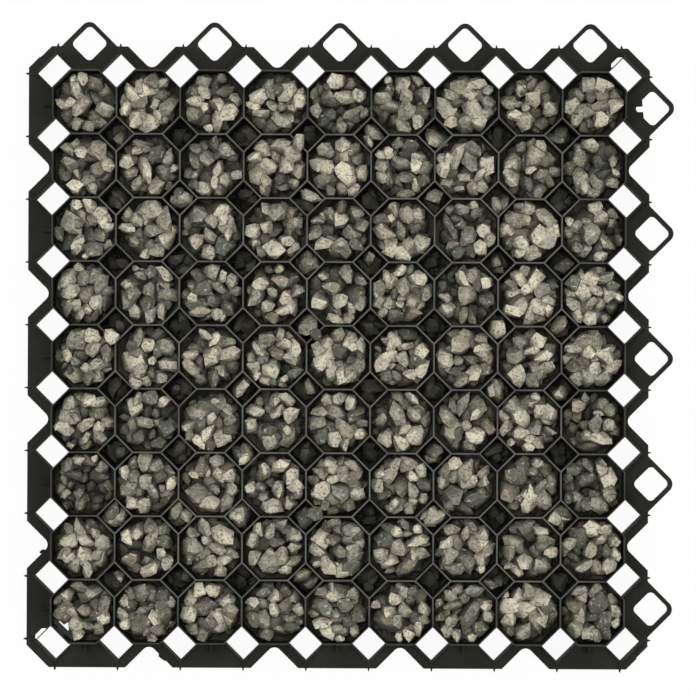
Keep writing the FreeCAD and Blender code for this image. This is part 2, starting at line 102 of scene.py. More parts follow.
class NodeSheet:
    """The nodes of one material or of the world, and the one way in which they are added."""

    def __init__(self, owner: Any) -> None:
        """Starts an empty sheet on a material or a world.

        Args:
            owner: the material or the world whose nodes these are.
        """
        owner.use_nodes = True
        self.tree = owner.node_tree
        self.tree.nodes.clear()

    def add(self, kind: str, settings: dict[str, Any], inputs: dict[Any, Any]) -> Any:
        """Adds one node, sets what it is, and then feeds its sockets.

        Args:
            kind: the node's type.
            settings: properties of the node, such as a Math node's operation.
            inputs: for each socket, by name or number, a value, a Signal or another node's socket.

        Returns:
            The new node.
        """
        node = self.tree.nodes.new(kind)
        for name, value in settings.items():
            setattr(node, name, value)
        for name, value in inputs.items():
            if isinstance(value, Signal):
                self.tree.links.new(value.socket, node.inputs[name])
            elif isinstance(value, bpy.types.NodeSocket):
                self.tree.links.new(value, node.inputs[name])
            else:
                node.inputs[name].default_value = value
        return node

    def signal(self, socket: Any) -> "Signal":
        """A socket as a number that Python's own operators work on."""
        return Signal(self, socket)

    def place(self) -> Any:
        """The socket that gives the place on the object."""
        return self.add("ShaderNodeTexCoord", {}, {}).outputs["Object"]

    def noise(self, where: Any, size: float, detail: float = 2.0, rough: float = 0.5) -> "Signal":
        """Cloudy noise from 0 to 1.

        Args:
            where: the socket with the place.
            size: width of one cloud in metres.
            detail: how many finer layers are added.
            rough: how strong the finer layers are.

        Returns:
            The noise.
        """
        inputs = {"Vector": where, "Scale": 1.0 / size, "Detail": detail, "Roughness": rough}
        return self.signal(self.add("ShaderNodeTexNoise", {}, inputs).outputs["Fac"])

    def spots(self, where: Any, size: float) -> "Signal":
        """Distance from the nearest of many scattered points, as a share of their spacing."""
        inputs = {"Vector": where, "Scale": 1.0 / size}
        return self.signal(self.add("ShaderNodeTexVoronoi", {}, inputs).outputs["Distance"])

    def blend(self, share: Any, first: Any, second: Any) -> Any:
        """A mix of two colours.

        Args:
            share: how much of the second colour shows.
            first: a colour or its socket.
            second: a colour or its socket.

        Returns:
            The socket with the mixed colour.
        """
        node = self.add("ShaderNodeMix", {"data_type": "RGBA"}, {0: share, 6: first, 7: second})
        return node.outputs[2]

    def shade(self, inputs: dict[str, Any]) -> Any:
        """The main surface shader, with the values or links of its sockets."""
        return self.add("ShaderNodeBsdfPrincipled", {}, inputs).outputs["BSDF"]

    def finish_surface(self, shader: Any, kind: str = "ShaderNodeOutputMaterial") -> None:
        """Connects a shader to the sheet's output, which is of the given kind."""
        self.add(kind, {}, {"Surface": shader})


class Signal:
    """A node's number output. Operators on it add the Math nodes that work the result out."""

    def __init__(self, sheet: NodeSheet, socket: Any) -> None:
        """Wraps one socket of a sheet."""
        self.sheet = sheet
        self.socket = socket

    def math(self, operation: str, *values: Number) -> "Signal":
        """One Math node on this signal and the values after it."""
        inputs = dict(enumerate((self, *values)))
        node = self.sheet.add("ShaderNodeMath", {"operation": operation}, inputs)
        return Signal(self.sheet, node.outputs[0])

    def reflected(self, operation: str, first: float) -> "Signal":
        """One Math node with a plain number before this signal."""
        node = self.sheet.add("ShaderNodeMath", {"operation": operation}, {0: first, 1: self})
        return Signal(self.sheet, node.outputs[0])

    def __add__(self, other: Number) -> "Signal":
        """This signal plus another."""
        return self.math("ADD", other)

    __radd__ = __add__

    def __sub__(self, other: Number) -> "Signal":
        """This signal less another."""
        return self.math("SUBTRACT", other)

    def __rsub__(self, other: float) -> "Signal":
        """A number less this signal."""
        return self.reflected("SUBTRACT", other)

    def __mul__(self, other: Number) -> "Signal":
        """This signal times another."""
        return self.math("MULTIPLY", other)

    __rmul__ = __mul__

    def step(self, low: float, high: float) -> "Signal":
        """Rises smoothly from 0 at low to 1 at high, or falls where high is the lower one."""
        settings = {"interpolation_type": "SMOOTHSTEP"}
        inputs = {0: self, 1: low, 2: high, 3: 0.0, 4: 1.0}
        return Signal(self.sheet, self.sheet.add("ShaderNodeMapRange", settings, inputs).outputs[0])


@dataclass(frozen=True)
class RecycledPlastic:
    """Black plastic with a faint bloom, grey at its edges from wear and painted highlight, and lighter on the
    wall tops from dust and painted highlight.

    The tops of the walls are at the height top. Their dust and painted highlight thin out over the fade
    toward the rim, which is the outermost row of walls, so that the middle of the module looks more brightly
    lit. They start at the depth of dust and highlight below the tops and are full at the full depth.
    The widths are those of one cloud, patch or grain of the finish. Edges, which get wear and a painted
    highlight, show where the rounded normal is less like the flat one than the first likeness, and in full at
    the second.
    """

    top: float
    rim: float = 0.225
    fade: float = 0.06
    body: Colour = grey(31, 31, 27)
    bloom: Colour = grey(47, 47, 41)
    # Grey of the edges, partly wear and partly painted highlight where rounded edges catch the light.
    wear_and_edge_highlight: Colour = grey(104, 103, 97)
    # Lighter grey of the wall tops, partly dust and partly painted highlight.
    dust_and_highlight: Colour = grey(98, 97, 90)
    edge_width: float = 0.0006
    edge_likeness: tuple[float, float] = (0.995, 0.80)
    edge_wear_and_highlight: float = 0.45
    dust_and_highlight_depth: float = 0.0012
    full_depth: float = 0.0002
    cloud_width: float = 0.035
    patch_width: float = 0.008
    grain_width: float = 0.0009
    relief_depth: float = 0.0006
    relief_share: float = 0.28
    shine: float = 0.12

    def make(self) -> Any:
        """Makes the material.

        Returns:
            The material, which reads the place on the lattice itself.
        """
        material = bpy.data.materials.new("recycled_plastic")
        sheet = NodeSheet(material)
        where = sheet.place()
        parts = sheet.add("ShaderNodeSeparateXYZ", {}, {0: where}).outputs
        across, along, height = (sheet.signal(parts[axis]) for axis in "XYZ")
        outward = across.math("ABSOLUTE").math("MAXIMUM", along.math("ABSOLUTE"))
        # Painted light: stronger toward the middle of the module, weaker at the rim.
        inward = outward.step(self.rim, self.rim - self.fade)
        soft = sheet.add("ShaderNodeBevel", {"samples": 4}, {"Radius": self.edge_width}).outputs["Normal"]
        flat = sheet.add("ShaderNodeNewGeometry", {}, {}).outputs["True Normal"]
        likeness = sheet.add("ShaderNodeVectorMath", {"operation": "DOT_PRODUCT"}, {0: soft, 1: flat})
        edge = sheet.signal(likeness.outputs["Value"]).step(*self.edge_likeness)
        clouds = sheet.noise(where, self.cloud_width, 5.0, 0.62)
        grain = sheet.noise(where, self.grain_width, 3.0, 0.7)
        patches = sheet.noise(where, self.patch_width, 3.0, 0.55)
        wall_top = height.step(self.top - self.dust_and_highlight_depth, self.top - self.full_depth)
        # Grey on the edges, partly wear and partly painted highlight where rounded edges catch the light.
        scuff_and_edge_highlight = edge * patches.step(0.35, 0.7) * self.edge_wear_and_highlight
        # Lighter wall tops, partly dust and partly painted highlight, with painted light that is brighter
        # toward the middle of the module.
        lit_top = wall_top * (0.3 + inward * 0.7) * (0.5 + clouds.step(0.3, 0.7) * 0.5)
        bloomed = clouds.step(0.35, 0.75) * 0.6 + grain.step(0.55, 0.8) * 0.3
        colour = sheet.blend(bloomed, self.body, self.bloom)
        colour = sheet.blend(scuff_and_edge_highlight, colour, self.wear_and_edge_highlight)
        colour = sheet.blend(lit_top, colour, self.dust_and_highlight)
        rough = 0.6 + grain * 0.12 + wall_top * 0.1 + clouds * 0.06
        relief = grain * 0.5 + patches * 0.8
        bump = sheet.add("ShaderNodeBump", {}, {
            "Strength": self.relief_share, "Distance": self.relief_depth, "Height": relief,
        })
        shader = sheet.shade({
            "Base Color": colour, "Roughness": rough, "Normal": bump.outputs["Normal"],
            "Specular IOR Level": self.shine,
        })
        sheet.finish_surface(shader)
        return material


@dataclass(frozen=True)
class CrushedStone:
    """Broken grey stone: its own tone for each piece, with painted shade on its sides and further down.

    The widths are those of one patch of hue, band, hollow, grain or fleck. Painted shade darkens the stone
    between the two depths below the wall tops. Its sides get painted shade too: a little where the upward
    part of the normal is below the first slope, and fully below the second, so that its upward faces stay
    lighter. The shares are how much of each colour shows at most.
    """

    top: float
    dark: Colour = grey(92, 92, 80)
    pale: Colour = grey(232, 226, 200)
    warm: Colour = grey(182, 160, 134)
    cool: Colour = grey(118, 126, 114)
    fleck: Colour = grey(44, 42, 38)
    pit: Colour = grey(62, 61, 54)
    # Colour of the painted shade on the stones' sides and further down, where less light reaches.
    painted_shade: Colour = grey(45, 44, 38)
    quartz: Colour = grey(236, 232, 218)
    hue_width: float = 0.02
    band_width: float = 0.006
    mottle_width: float = 0.0021
    grain_width: float = 0.0011
    fleck_width: float = 0.0021
    # Depths below the wall tops where the painted shade starts and where it is full.
    shade_start_depth: float = 0.003
    shade_full_depth: float = 0.015
    shade_slopes: tuple[float, float] = (0.97, 0.3)
    depth_shade_share: float = 0.9
    side_shade_share: float = 0.72
    hue_share: float = 0.3
    pit_share: float = 0.75
    fleck_share: float = 0.6
    quartz_share: float = 0.5
    relief_depth: float = 0.0011
    relief_share: float = 0.7
    shine: float = 0.3

    def make(self) -> Any:
        """Makes the material.

        Returns:
            The material, which reads each stone's tone and shift from the mesh.
        """
        material = bpy.data.materials.new("crushed_stone")
        sheet = NodeSheet(material)
        tone = sheet.signal(sheet.add("ShaderNodeAttribute", {"attribute_name": TONE}, {}).outputs["Fac"])
        shift = sheet.add("ShaderNodeAttribute", {"attribute_name": SHIFT}, {}).outputs["Vector"]
        moved = sheet.add("ShaderNodeVectorMath", {"operation": "ADD"}, {0: sheet.place(), 1: shift})
        where = moved.outputs[0]
        bands = sheet.noise(where, self.band_width, 4.0, 0.6)
        mottle = sheet.noise(where, self.mottle_width, 5.0, 0.75)
        grains = sheet.noise(where, self.grain_width, 3.0, 0.75)
        flecks = sheet.spots(where, self.fleck_width)
        hue = sheet.noise(where, self.hue_width, 1.0)
        height = sheet.signal(sheet.add("ShaderNodeSeparateXYZ", {}, {0: sheet.place()}).outputs["Z"])
        # Painted shade: darker further below the wall tops, where less light reaches down.
        depth_shade = height.step(self.top - self.shade_start_depth, self.top - self.shade_full_depth)
        normal = sheet.add("ShaderNodeNewGeometry", {}, {}).outputs["True Normal"]
        facing = sheet.signal(sheet.add("ShaderNodeSeparateXYZ", {}, {0: normal}).outputs["Z"])
        # Painted shade: faces that turn away from straight up are darker, and upward faces lighter.
        side = facing.step(*self.shade_slopes)
        share = tone * 0.98 + (bands - 0.5) * 0.7 + (grains - 0.5) * 0.55 - 0.1
        colour = sheet.blend(share.step(0.0, 1.0), self.dark, self.pale)
        colour = sheet.blend(hue.step(0.55, 0.72) * self.hue_share, colour, self.warm)
        colour = sheet.blend(hue.step(0.46, 0.34) * self.hue_share, colour, self.cool)
        colour = sheet.blend(mottle.step(0.50, 0.38) * self.pit_share, colour, self.pit)
        dark_grain = flecks.step(0.22, 0.1) * grains.step(0.4, 0.55)
        pale_grain = flecks.step(0.75, 0.95)
        colour = sheet.blend(dark_grain * self.fleck_share, colour, self.fleck)
        colour = sheet.blend(pale_grain * self.quartz_share, colour, self.quartz)
        # Painted shade on the sides and further down.
        colour = sheet.blend(side * self.side_shade_share, colour, self.painted_shade)
        colour = sheet.blend(depth_shade * self.depth_shade_share, colour, self.painted_shade)
        relief = bands * 1.0 + mottle * 0.9 + grains * 0.55
        bump = sheet.add("ShaderNodeBump", {}, {
            "Strength": self.relief_share, "Distance": self.relief_depth, "Height": relief,
        })
        shader = sheet.shade({
            "Base Color": colour, "Roughness": 0.88 - grains * 0.12, "Normal": bump.outputs["Normal"],
            "Specular IOR Level": self.shine,
        })
        sheet.finish_surface(shader)
        return material


@dataclass(frozen=True)
class PaleFloor:
    """A white floor that shows white to the eye and in reflections, and keeps a little shadow."""

    colour: Colour = (0.82, 0.82, 0.82, 1.0)
    own_light: float = 0.93

    def make(self) -> Any:
        """Makes the material.

        Returns:
            The material, a share of which gives off white where the eye sees it.
        """
        material = bpy.data.materials.new("pale_floor")
        sheet = NodeSheet(material)
        path = sheet.add("ShaderNodeLightPath", {}, {}).outputs
        seen = sheet.signal(path["Is Camera Ray"])
        seen = seen.math("MAXIMUM", sheet.signal(path["Is Glossy Ray"]))
        seen = seen.math("MAXIMUM", sheet.signal(path["Is Transmission Ray"]))
        matte = sheet.add("ShaderNodeBsdfDiffuse", {}, {"Color": self.colour}).outputs[0]
        bright = sheet.add("ShaderNodeEmission", {}, {"Color": WHITE, "Strength": 1.0}).outputs[0]
        mix = sheet.add("ShaderNodeMixShader", {}, {0: seen * self.own_light, 1: matte, 2: bright})
        sheet.finish_surface(mix.outputs[0])
        return material


@dataclass
class Lattice:
    """Sizes of the moulded lattice that the heaps of stone need."""

    height: float
    pitch: float = 0.050
    cells: int = 9
    wall: float = 0.0012
    pocket_reach: float = 0.0140
    clearance: float = 0.0002

    def centres(self, heap: Heap) -> np.ndarray:
        """Middles of the cells or of the inner pockets.

        Args:
            heap: which of the two.

        Returns:
            Places (row, column, 2), evenly spaced by the pitch about the origin.
        """
        count = self.cells if heap is Heap.CELL else self.cells - 1
        line = (np.arange(count) - (count - 1) / 2.0) * self.pitch
        across, along = np.meshgrid(line, line)
        return np.stack([across, along], axis=-1)

    def walls(self, heap: Heap) -> tuple[np.ndarray, np.ndarray]:
        """The upright walls round a heap.

        A cell has eight walls: four straight ones half a pitch from its middle, and four slanted ones, which
        are the walls of its neighbouring pockets. A pocket has the four slanted ones only.

        Args:
            heap: whether the walls are those of a cell or of a pocket.

        Returns:
            Outward normals (wall, 2), and each wall's distance from the middle, up to its near face.
        """
        gap = self.wall / 2.0 + self.clearance
        slant = self.pocket_reach * math.sqrt(0.5)
        turns = np.arange(8) * math.pi / 4.0
        normals = np.stack([np.cos(turns), np.sin(turns)], axis=-1)
        if heap is Heap.POCKET:
            return normals[1::2], np.full(4, slant - gap)
        straight = self.pitch / 2.0 - gap
        corner = self.pitch * math.sqrt(0.5) - slant - gap
        return normals, np.where(np.arange(8) % 2 == 0, straight, corner)


@dataclass
class StoneStock:
    """A stock of broken stones of about unit size, which the heaps draw from.

    The body of a stone is a ball cut by flat breaks. Along a direction u its surface lies at
    (r ** p + sum over the breaks of max(0, u.n / d) ** p) ** (-1 / p), where n is a break's normal, d its
    distance from the middle, p how sharp the edges between the breaks are and r the roundness, which keeps
    the parts that no break has cut from standing out as spikes. The body is stretched along its own three
    axes and sampled at a few corners, and its facets are those planes through three corners that have all
    the other corners behind them.

    The shake is how far the corners stray from an even spread. The cuts are the least and the greatest
    distance of a break from the middle, and the lengths and thicknesses are those of the stretch, as shares
    of the width.
    """

    rng: np.random.Generator
    kinds: int = 72
    corners: int = 24
    breaks: int = 10
    sharpness: float = 14.0
    roundness: float = 0.82
    shake: float = 0.13
    cuts: tuple[float, float] = (0.55, 1.0)
    lengths: tuple[float, float] = (1.05, 1.45)
    thicknesses: tuple[float, float] = (0.66, 0.95)

    def directions(self) -> np.ndarray:
        """Unit directions (kind, corner, 3): a golden spiral over the ball, shaken a little."""
        step = np.arange(self.corners) + 0.5
        rise = 1.0 - 2.0 * step / self.corners
        turn = step * math.pi * (1.0 + math.sqrt(5.0))
        flat = np.sqrt(1.0 - rise**2)
        spiral = np.stack([flat * np.cos(turn), flat * np.sin(turn), rise], axis=-1)
        shaken = spiral + self.rng.normal(0.0, self.shake, (self.kinds, self.corners, 3))
        return shaken / np.linalg.norm(shaken, axis=-1, keepdims=True)

    def bodies(self) -> np.ndarray:
        """Corners (kind, corner, 3) of every kind of stone, not yet scaled to one volume."""
        toward = self.directions()
        normals = self.rng.normal(size=(self.kinds, self.breaks, 3))
        normals /= np.linalg.norm(normals, axis=-1, keepdims=True)
        depth = self.rng.uniform(*self.cuts, (self.kinds, self.breaks))
        faced = np.einsum("kcx,kbx->kcb", toward, normals) / depth[:, None, :]
        closeness = (np.maximum(faced, 0.0) ** self.sharpness).sum(-1)
        closeness += self.roundness**self.sharpness
        surface = toward * (closeness ** (-1.0 / self.sharpness))[..., None]
        stretch = np.stack([
            self.rng.uniform(*self.lengths, self.kinds),
            np.ones(self.kinds),
            self.rng.uniform(*self.thicknesses, self.kinds),
        ], axis=-1)
        return surface * stretch[:, None, :]

    def facets(self, bodies: np.ndarray) -> np.ndarray:
        """The facets of every kind of stone.

        Args:
            bodies: corners (kind, corner, 3).

        Returns:
            Corner numbers (kind, facet, 3), each facet anticlockwise seen from outside.
        """
        triples = np.array([
            (a, b, c)
            for a in range(self.corners)
            for b in range(a + 1, self.corners)
            for c in range(b + 1, self.corners)
        ])
        first, second, third = (bodies[:, triples[:, i]] for i in range(3))
        normal = np.cross(second - first, third - first)
        offset = np.einsum("ktx,ktx->kt", normal, first)
        side = np.einsum("ktx,kcx->ktc", normal, bodies) - offset[..., None]
        outward = (side < TINY).all(-1)
        inward = (side > -TINY).all(-1)
        ordered = np.where(outward[..., None], triples, triples[:, [0, 2, 1]])
        chosen = [ordered[kind][(outward | inward)[kind]] for kind in range(self.kinds)]
        return np.stack(chosen)

    def make(self) -> tuple[np.ndarray, np.ndarray]:
        """The stock.

        Returns:
            Corners (kind, corner, 3), scaled so that each kind has the volume of a unit ball, and facets.
        """
        bodies = self.bodies()
        facets = self.facets(bodies)
        kinds = np.arange(self.kinds)[:, None]
        a, b, c = (bodies[kinds, facets[..., i]] for i in range(3))
        volume = np.einsum("kfx,kfx->k", a, np.cross(b, c)) / 6.0
        scale = (4.0 / 3.0 * math.pi / volume) ** (1.0 / 3.0)
        return bodies * scale[:, None, None], facets


@dataclass
class HeapPlan:
    """How one kind of heap is filled.

    A heap has from the fewest stones up to all of them. The size is their middle width, the spread is that of
    the width's logarithm, and their radius is held between the smallest and the largest share of the size.
    They lie between the heights of the bed and of the crest. Each is drawn at the snug share of the ball that
    stood for it, and the bare spot of one cell stays clear of stones.
    """

    heap: Heap
    stones: int
    fewest: int
    size: float
    spread: float
    bed: float
    crest: float
    snug: float = 0.86
    bare: tuple[float, float] = (-0.2163, -0.2163)
    bare_radius: float = 0.0049
    smallest: float = 0.27
    largest: float = 0.82


@dataclass(frozen=True)
class Settling:
    """How the balls that stand for stones are hung up, and how they give way while they settle.

    A gap is how close a ball's middle may come to something, as a share of its radius. A push is how much of
    an overlap one step undoes, as a share of it. Crowding and calming are powers. The first rise sets how
    high a ball is hung above the volume of those before it. The ceiling comes down evenly, by the drop over
    all the steps, and stands still once the late share of them is over. The sink is how far the stones come
    down in the first step.
    """

    first_gap: float = 0.5
    first_rise: float = 5.0
    steps: int = 260
    push: float = 0.62
    crowding: float = 0.6
    wall_gap: float = 0.4
    wall_push: float = 0.8
    bare_gap: float = 1.3
    bed_gap: float = 0.6
    crest_gap: float = 0.9
    ceiling_drop: float = 0.12
    late: float = 0.7
    sink: float = 0.0009
    calming: float = 1.5


class Heaps:
    """Heaps of stone in all the cells or pockets, dropped together and settled.

    The bed under them rises and falls by its relief in millimetres. A stone leans and rolls by an angle whose
    spread is the lean, and by no more than the most lean, in radians.
    """

    settling: Settling = Settling()
    bed_relief: float = 3.2
    lean: float = 0.55
    most_lean: float = 1.5

    def __init__(self, lattice: Lattice, plan: HeapPlan, rng: np.random.Generator) -> None:
        """Draws the stones and hangs them one above the other over their heaps.

        Args:
            lattice: sizes of the walls.
            plan: how many stones a heap has and how large they are.
            rng: the source of chance.
        """
        self.lattice = lattice
        self.plan = plan
        self.rng = rng
        self.normals, self.reach = lattice.walls(plan.heap)
        self.middles = lattice.centres(plan.heap)
        heaps = self.middles.shape[0] * self.middles.shape[1]
        count = plan.stones
        self.radius = plan.size / 2.0 * np.exp(rng.normal(0.0, plan.spread, (heaps, count)))
        self.radius = np.clip(self.radius, plan.size * plan.smallest, plan.size * plan.largest)
        wanted = rng.integers(plan.fewest, count + 1, heaps)
        self.present = np.arange(count)[None, :] < wanted[:, None]
        angle = rng.uniform(0.0, 2.0 * math.pi, (heaps, count))
        rule, nearest = self.settling, self.reach.min()
        away = (nearest - self.radius * rule.first_gap) * np.sqrt(rng.uniform(0.0, 1.0, (heaps, count)))
        rise = plan.bed + self.radius + np.cumsum(self.radius**3, axis=1) * rule.first_rise / nearest**2
        self.place = np.stack([away * np.cos(angle), away * np.sin(angle), rise], axis=-1)
        self.ceiling = rise
        self.present_pair = self.present[:, :, None] & self.present[:, None, :]

    def relax(self, sink: float) -> None:
        """Lets the stones down a little and pushes apart those that overlap, all heaps at once.

        Each stone is a ball here. Two that overlap move apart along the line between them, by a share of the
        overlap that is smaller the more neighbours a stone touches. One that comes too near a wall or the
        bare spot moves back from it, and its height stays between the bed and the ceiling.

        Args:
            sink: how far the stones come down before they are pushed apart.
        """
        rule, place, radius = self.settling, self.place, self.radius
        place[..., 2] -= sink
        gap = place[:, :, None, :] - place[:, None, :, :]
        far = np.sqrt((gap**2).sum(-1)) + TINY
        overlap = np.maximum(radius[:, :, None] + radius[:, None, :] - far, 0.0) * self.present_pair
        itself = np.arange(radius.shape[1])
        overlap[:, itself, itself] = 0.0
        touching = np.maximum((overlap > 0.0).sum(-1), 1) ** rule.crowding
        place += (gap * (overlap / far)[..., None]).sum(2) * (rule.push / touching)[..., None]
        limit = self.reach - radius[..., None] * rule.wall_gap
        out = np.einsum("hsx,wx->hsw", place[..., :2], self.normals) - limit
        place[..., :2] -= np.einsum("hsw,wx->hsx", np.maximum(out, 0.0), self.normals) * rule.wall_push
        aside = place[..., :2] + self.middles.reshape(-1, 1, 2) - self.plan.bare
        away = np.sqrt((aside**2).sum(-1)) + TINY
        push = np.maximum(self.plan.bare_radius + radius * rule.bare_gap - away, 0.0)
        place[..., :2] += aside * (push / away)[..., None]
        place[..., 2] = np.clip(place[..., 2], self.plan.bed + radius * rule.bed_gap, self.ceiling)

    def settle(self) -> None:
        """Settles the heaps, with smaller and smaller moves under a ceiling that comes down to the crest."""
        rule = self.settling
        for step in range(rule.steps):
            done = step / rule.steps
            above = rule.ceiling_drop * max(rule.late - done, 0.0)
            self.ceiling = self.plan.crest + above - self.radius * rule.crest_gap
            self.relax(rule.sink * (1.0 - done) ** rule.calming)

    def outline(self, spokes: int) -> np.ndarray:
        """Places (spoke, 2) evenly along the walls, from corner to corner.

        A corner lies where two neighbouring walls meet: its share along each one's normal is that wall's
        distance.

        Args:
            spokes: how many places there are.

        Returns:
            The places, anticlockwise.
        """
        after = np.roll(self.normals, -1, axis=0)
        reach = self.reach + self.lattice.clearance
        distances = np.stack([reach, np.roll(reach, -1)], axis=-1)
        corner = np.linalg.solve(np.stack([self.normals, after], axis=1), distances[..., None])[..., 0]
        each = spokes // len(corner)
        share = (np.arange(each) / each)[:, None]
        ahead = np.roll(corner, -1, axis=0)
        return (corner[:, None] * (1.0 - share) + ahead[:, None] * share).reshape(-1, 2)

    def lay_bed(self, material: Any, node: str, spokes: int = 24, rings: int = 6) -> Any:
        """Makes the rough bed of fine stone that closes all the heaps of this kind below.

        A place on the bed lies on a spoke from the heap's middle to its outline, an even share of the way,
        and its height is the bed's own, a little more or less by chance.

        Args:
            material: the stones' material.
            node: the plain solid that the bed stands for.
            spokes: how many spokes each bed has.
            rings: how many places each spoke has.

        Returns:
            The piece.
        """
        share = (np.arange(rings) + 1.0) / rings
        flat = (share[:, None, None] * self.outline(spokes)).reshape(-1, 2)
        flat = np.concatenate([np.zeros((1, 2)), flat])
        middles = self.middles.reshape(-1, 1, 2)
        chance = self.rng.uniform(-self.bed_relief, self.bed_relief, (len(middles), len(flat), 1))
        height = self.plan.bed + chance * MILLIMETRE
        corners = np.concatenate([middles + flat, height], axis=-1)
        here = np.arange(spokes)
        after = (here + 1) % spokes
        fan = np.stack([np.zeros_like(here), here + 1, after + 1], axis=-1)
        low = 1 + spokes * np.arange(rings - 1)[:, None]
        near, next_near = low + here, low + after
        far, next_far = near + spokes, next_near + spokes
        bands = np.concatenate([
            np.stack([near, far, next_far], axis=-1).reshape(-1, 3),
            np.stack([near, next_far, next_near], axis=-1).reshape(-1, 3),
        ])
        facets = np.broadcast_to(np.concatenate([fan, bands]), (len(middles), len(fan) + len(bands), 3))
        centre = (middles + flat)[:, facets[0]].mean(-2)
        covered = np.sqrt(((centre - self.plan.bare) ** 2).sum(-1)) > self.plan.bare_radius
        first = np.arange(len(middles))[:, None, None] * len(flat)
        name = "%s_stone_bed" % self.plan.heap.value
        bed = stone_piece(name, corners, (facets + first)[covered], material, self.rng)
        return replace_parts(bed, node)

    def turns(self) -> np.ndarray:
        """A turning matrix (heap, stone, 3, 3) for each stone: any heading, most lying rather flat."""
        shape = self.radius.shape
        heading = self.rng.uniform(0.0, 2.0 * math.pi, shape)
        lean = np.clip(self.rng.normal(0.0, self.lean, shape), -self.most_lean, self.most_lean)
        roll = np.clip(self.rng.normal(0.0, self.lean, shape), -self.most_lean, self.most_lean)
        return turned(heading, "z") @ turned(lean, "x") @ turned(roll, "y")

    def corners(self, bodies: np.ndarray, kind: np.ndarray) -> np.ndarray:
        """Corners of all the stones, which are moved off the walls, the ground and the crest.

        A stone wider than its pocket is moved to and fro between two walls and still reaches into one.

        Args:
            bodies: corners (kind, corner, 3) of the kinds of stone.
            kind: the kind (heap, stone) of each stone.

        Returns:
            The corners (heap, stone, corner, 3), from the middle of each heap.
        """
        body = bodies[kind] * self.radius[..., None, None] * self.plan.snug
        body = np.einsum("hsxy,hscy->hscx", self.turns(), body)
        for _ in range(3):
            out = np.einsum("hscx,wx->hscw", (body + self.place[..., None, :])[..., :2], self.normals)
            over = np.maximum(out.max(2) - self.reach, 0.0)
            self.place[..., :2] -= np.einsum("hsw,wx->hsx", over, self.normals)
        low = (body[..., 2] + self.place[..., None, 2]).min(-1)
        high = (body[..., 2] + self.place[..., None, 2]).max(-1)
        self.place[..., 2] += np.maximum(-low, 0.0) - np.maximum(high - self.plan.crest, 0.0)
        return body + self.place[..., None, :]

    def build(self, stock: tuple[np.ndarray, np.ndarray], material: Any, node: str) -> list[Any]:
        """Settles the stones and makes their bed and one piece for each row of heaps.

        Args:
            stock: corners and facets of the kinds of stone.
            material: the stones' material.
            node: the plain solid that these pieces stand for.

        Returns:
            The bed, and then the pieces from the front row to the back one.
        """
        self.settle()
        bodies, facets = stock
        kind = self.rng.integers(0, len(bodies), self.radius.shape)
        corners = self.corners(bodies, kind)
        rows, columns = self.middles.shape[:2]
        corners[..., :2] += self.middles.reshape(-1, 1, 1, 2)
        pieces = [self.lay_bed(material, node)]
        for row in range(rows):
            held = slice(row * columns, (row + 1) * columns)
            keep = self.present[held]
            name = "%s_stone_row_%d" % (self.plan.heap.value, row + 1)
            numbers = numbered(facets[kind[held][keep]], corners.shape[2])
            piece = stone_piece(name, corners[held][keep], numbers, material, self.rng)
            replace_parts(piece, node)
            pieces.append(piece)
        return pieces


def turned(angle: np.ndarray, axis: str) -> np.ndarray:
    """Turning matrices about one axis.

    Args:
        angle: any array of angles in radians.
        axis: x, y or z.

    Returns:
        The matrices, with two more axes than the angles.
    """
    first = {"x": 1, "y": 2, "z": 0}[axis]
    second = (first + 1) % 3
    matrix = np.zeros(angle.shape + (3, 3))
    matrix[..., range(3), range(3)] = 1.0
    matrix[..., first, first] = matrix[..., second, second] = np.cos(angle)
    matrix[..., first, second] = -np.sin(angle)
    matrix[..., second, first] = np.sin(angle)
    return matrix


def numbered(facets: np.ndarray, each: int) -> np.ndarray:
    """Corner numbers counted through many stones.

    Args:
        facets: corner numbers (stone, facet, 3) within each stone.
        each: how many corners a stone has.

    Returns:
        Corner numbers (facet, 3) for all the stones in one run.
    """
    return (facets + np.arange(len(facets))[:, None, None] * each).reshape(-1, 3)


def mesh_from_arrays(name: str, corners: np.ndarray, facets: np.ndarray) -> Any:
    """A mesh of triangles from whole arrays.

    Args:
        name: the mesh's name.
        corners: places (corner, 3) in metres.
        facets: corner numbers (facet, 3).

    Returns:
        The mesh.
    """
    mesh = bpy.data.meshes.new(name)
    mesh.vertices.add(len(corners))
    mesh.vertices.foreach_set("co", corners.astype(np.float32).ravel())
    mesh.loops.add(facets.size)
    mesh.loops.foreach_set("vertex_index", facets.astype(np.int32).ravel())
    mesh.polygons.add(len(facets))
    mesh.polygons.foreach_set("loop_start", (np.arange(len(facets)) * 3).astype(np.int32))
    mesh.update(calc_edges=True)
    mesh.validate()
    mesh.shade_flat()
    return mesh


def laid_out(name: str, mesh: Any, material: Any) -> Any:
    """Puts a mesh into the scene as an object at the origin.

    Args:
        name: the object's name.
        mesh: its mesh.
        material: the one material of the mesh.

    Returns:
        The object.
    """
    mesh.materials.append(material)
    thing = bpy.data.objects.new(name, mesh)
    bpy.context.scene.collection.objects.link(thing)
    return thing


def stone_piece(name: str, corners: np.ndarray, facets: np.ndarray, material: Any,
                rng: np.random.Generator) -> Any:
    """Joins many stones to one piece and gives each its own tone, from a beta curve of the tone spread.

    Args:
        name: the piece's name.
        corners: places (stone, corner, 3).
        facets: corner numbers (facet, 3) of all the stones, in the order of their corners.
        material: the stones' material.
        rng: the source of chance.

    Returns:
        The piece, which rides on the module.
    """
    stones, each = corners.shape[:2]
    mesh = mesh_from_arrays(name, corners.reshape(-1, 3), facets)
    tone = rng.beta(*TONE_SPREAD, stones)
    shift = rng.uniform(0.0, 1.0, (stones, 3))
    mesh.attributes.new(TONE, "FLOAT", "POINT").data.foreach_set(
        "value", np.repeat(tone, each).astype(np.float32))
    mesh.attributes.new(SHIFT, "FLOAT_VECTOR", "POINT").data.foreach_set(
        "vector", np.repeat(shift, each, axis=0).astype(np.float32).ravel())
    piece = laid_out(name, mesh, material)
    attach(piece, BODY)
    return piece


